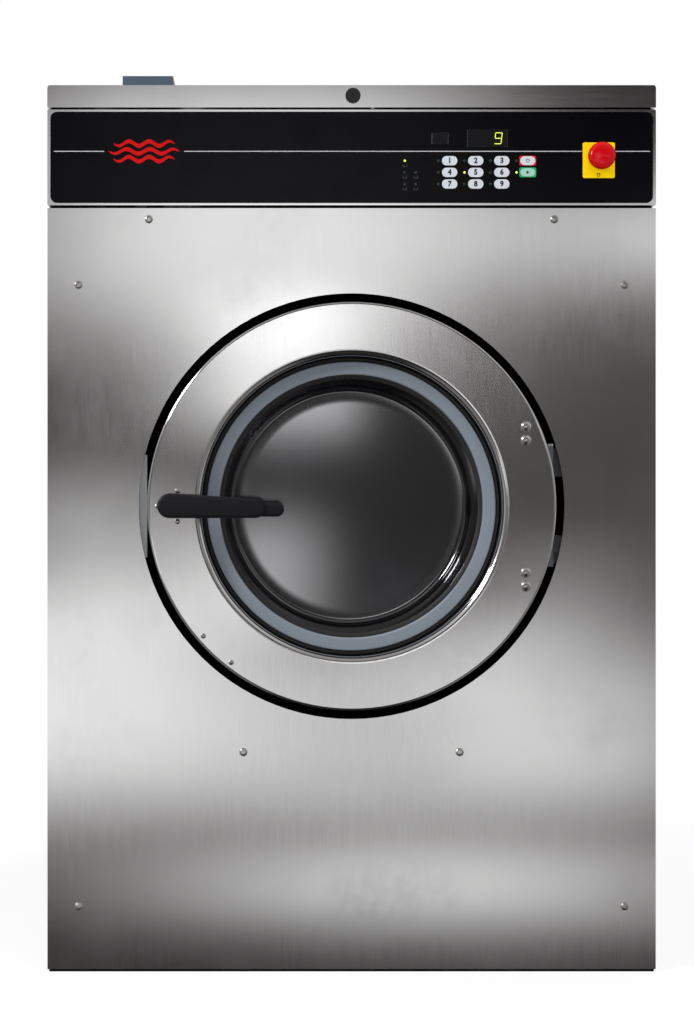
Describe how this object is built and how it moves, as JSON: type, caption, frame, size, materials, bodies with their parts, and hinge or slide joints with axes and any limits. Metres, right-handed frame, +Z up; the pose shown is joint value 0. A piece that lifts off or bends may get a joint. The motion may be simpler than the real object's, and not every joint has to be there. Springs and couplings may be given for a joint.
{
  "type": "front-loading washer-extractor",
  "caption": "Front-loading washer-extractor: round glass bowl door with turning latch handle, keypad with emergency stop, bolted stainless cabinet, top supply dispenser and belt-driven drum.",
  "frame": {"origin": "on the floor, at the centre of the four anchor holes in the base frame", "axes": "+X to the right seen from the front, -Y out of the front panel, +Z up"},
  "size_m": [0.9, 1.11, 1.3776],
  "materials": {
    "stainless": "vertical grain",
    "galvanised": "galvanised sheet",
    "frame_paint": "matt",
    "overlay_black": "gloss film",
    "window_smoke": "smoked",
    "board_green": "matt",
    "key_white": "satin",
    "key_red": "satin",
    "key_green": "satin",
    "estop_yellow": "satin",
    "estop_body": "satin",
    "estop_red": "gloss",
    "dispenser_grey": "satin",
    "tub_steel": "mill finish",
    "basket_steel": "polished",
    "seal_rubber": "matt",
    "gasket_grey": "satin",
    "bowl_glass": "clear",
    "handle_black": "satin",
    "screw_steel": "turned",
    "cast_grey": "as cast",
    "motor_paint": "gloss",
    "belt_rubber": "matt",
    "hose_rubber": "matt",
    "valve_plastic": "matt"
  },
  "bodies": {
    "cabinet": {"base_frame": "frame_paint", "rear_frame": "frame_paint", "front_frame": "galvanised", "front_panel": "stainless", "side_panels": "galvanised", "rear_panel": "galvanised", "top_panel": "galvanised", "control_fascia": "stainless", "control_overlay": "overlay_black", "display_window": "window_smoke", "control_board": "board_green", "estop_plate": "estop_yellow", "estop_housing": "estop_body", "dispenser_box": "dispenser_grey", "tub_shell": "tub_steel", "tub_front": "tub_steel", "door_seal": "seal_rubber", "bearing_housing": "cast_grey", "shaft_bearings": "screw_steel", "motor": "motor_paint", "drive_belts": "belt_rubber", "drain_valve": "valve_plastic", "water_valves": "valve_plastic", "fill_hoses": "hose_rubber", "vent_pipe": "hose_rubber", "electrical_box": "galvanised", "door_catch": "galvanised", "hinge_brackets": "frame_paint", "hinge_pin": "screw_steel", "panel_screws": "screw_steel"},
    "door": {"door_ring": "stainless", "door_glass": "bowl_glass", "glass_gasket": "gasket_grey", "hinge_arm": "frame_paint", "latch_housing": "cast_grey", "door_screws": "screw_steel"},
    "latch": {"door_handle": "handle_black", "latch_shaft": "screw_steel"},
    "basket": {"basket_shell": "basket_steel", "basket_ribs": "basket_steel", "basket_shaft": "screw_steel", "basket_pulley": "cast_grey"},
    "rotor": {"motor_pulley": "cast_grey"},
    "lid": {"service_lid": "stainless", "lid_lock_body": "screw_steel"},
    "lid_lock": {"lid_lock_plug": "screw_steel"},
    "dispenser_cover": {"dispenser_lid": "dispenser_grey"},
    "estop_slider": {"estop_stem": "screw_steel"},
    "estop_head": {"estop_button": "estop_red"},
    "key_1_cap": {"key_1": "key_white"},
    "key_2_cap": {"key_2": "key_white"},
    "key_3_cap": {"key_3": "key_white"},
    "key_4_cap": {"key_4": "key_white"},
    "key_5_cap": {"key_5": "key_white"},
    "key_6_cap": {"key_6": "key_white"},
    "key_7_cap": {"key_7": "key_white"},
    "key_8_cap": {"key_8": "key_white"},
    "key_9_cap": {"key_9": "key_white"},
    "stop_key_cap": {"stop_key": "key_red"},
    "start_key_cap": {"start_key": "key_green"}
  },
  "joints": [
    {"name": "door_hinge", "type": "hinge", "parent": "cabinet", "child": "door", "pos_m": [0.292, -0.5025, 0.689], "axis": [0, 0, 1], "range_deg": [0, 120]},
    {"name": "handle_turn", "type": "hinge", "parent": "door", "child": "latch", "pos_m": [-0.257, -0.52, 0.689], "axis": [0, 1, 0], "range_deg": [0, 90]},
    {"name": "basket_spin", "type": "hinge", "parent": "cabinet", "child": "basket", "pos_m": [0, 0, 0.689], "axis": [0, 1, 0], "continuous": true},
    {"name": "motor_spin", "type": "hinge", "parent": "cabinet", "child": "rotor", "pos_m": [0.155, 0.413, 0.21], "axis": [0, 1, 0], "continuous": true},
    {"name": "lid_hinge", "type": "hinge", "parent": "cabinet", "child": "lid", "pos_m": [0, -0.29985, 1.3154], "axis": [-1, 0, 0], "range_deg": [0, 90]},
    {"name": "lid_lock_turn", "type": "hinge", "parent": "lid", "child": "lid_lock", "pos_m": [0.002, -0.505, 1.296], "axis": [0, 1, 0], "range_deg": [0, 90]},
    {"name": "dispenser_hinge", "type": "hinge", "parent": "cabinet", "child": "dispenser_cover", "pos_m": [-0.317, 0.062, 1.373], "axis": [-1, 0, 0], "range_deg": [0, 100]},
    {"name": "estop_press", "type": "slide", "parent": "cabinet", "child": "estop_slider", "axis": [0, 1, 0], "range_m": [0, 0.005], "stiffness_N_per_m": 900},
    {"name": "estop_twist", "type": "hinge", "parent": "estop_slider", "child": "estop_head", "pos_m": [0.3653, -0.53, 1.2028], "axis": [0, 1, 0], "range_deg": [0, 45], "stiffness_Nm_per_rad": 0.05},
    {"name": "key_1_press", "type": "slide", "parent": "cabinet", "child": "key_1_cap", "axis": [0, 1, 0], "range_m": [0, 0.0006], "stiffness_N_per_m": 700},
    {"name": "key_2_press", "type": "slide", "parent": "cabinet", "child": "key_2_cap", "axis": [0, 1, 0], "range_m": [0, 0.0006], "stiffness_N_per_m": 700},
    {"name": "key_3_press", "type": "slide", "parent": "cabinet", "child": "key_3_cap", "axis": [0, 1, 0], "range_m": [0, 0.0006], "stiffness_N_per_m": 700},
    {"name": "key_4_press", "type": "slide", "parent": "cabinet", "child": "key_4_cap", "axis": [0, 1, 0], "range_m": [0, 0.0006], "stiffness_N_per_m": 700},
    {"name": "key_5_press", "type": "slide", "parent": "cabinet", "child": "key_5_cap", "axis": [0, 1, 0], "range_m": [0, 0.0006], "stiffness_N_per_m": 700},
    {"name": "key_6_press", "type": "slide", "parent": "cabinet", "child": "key_6_cap", "axis": [0, 1, 0], "range_m": [0, 0.0006], "stiffness_N_per_m": 700},
    {"name": "key_7_press", "type": "slide", "parent": "cabinet", "child": "key_7_cap", "axis": [0, 1, 0], "range_m": [0, 0.0006], "stiffness_N_per_m": 700},
    {"name": "key_8_press", "type": "slide", "parent": "cabinet", "child": "key_8_cap", "axis": [0, 1, 0], "range_m": [0, 0.0006], "stiffness_N_per_m": 700},
    {"name": "key_9_press", "type": "slide", "parent": "cabinet", "child": "key_9_cap", "axis": [0, 1, 0], "range_m": [0, 0.0006], "stiffness_N_per_m": 700},
    {"name": "stop_key_press", "type": "slide", "parent": "cabinet", "child": "stop_key_cap", "axis": [0, 1, 0], "range_m": [0, 0.0006], "stiffness_N_per_m": 700},
    {"name": "start_key_press", "type": "slide", "parent": "cabinet", "child": "start_key_cap", "axis": [0, 1, 0], "range_m": [0, 0.0006], "stiffness_N_per_m": 700}
  ],
  "couplings": [
    {"joint": "motor_spin", "follows": "basket_spin", "ratio": 4.4004}
  ]
}
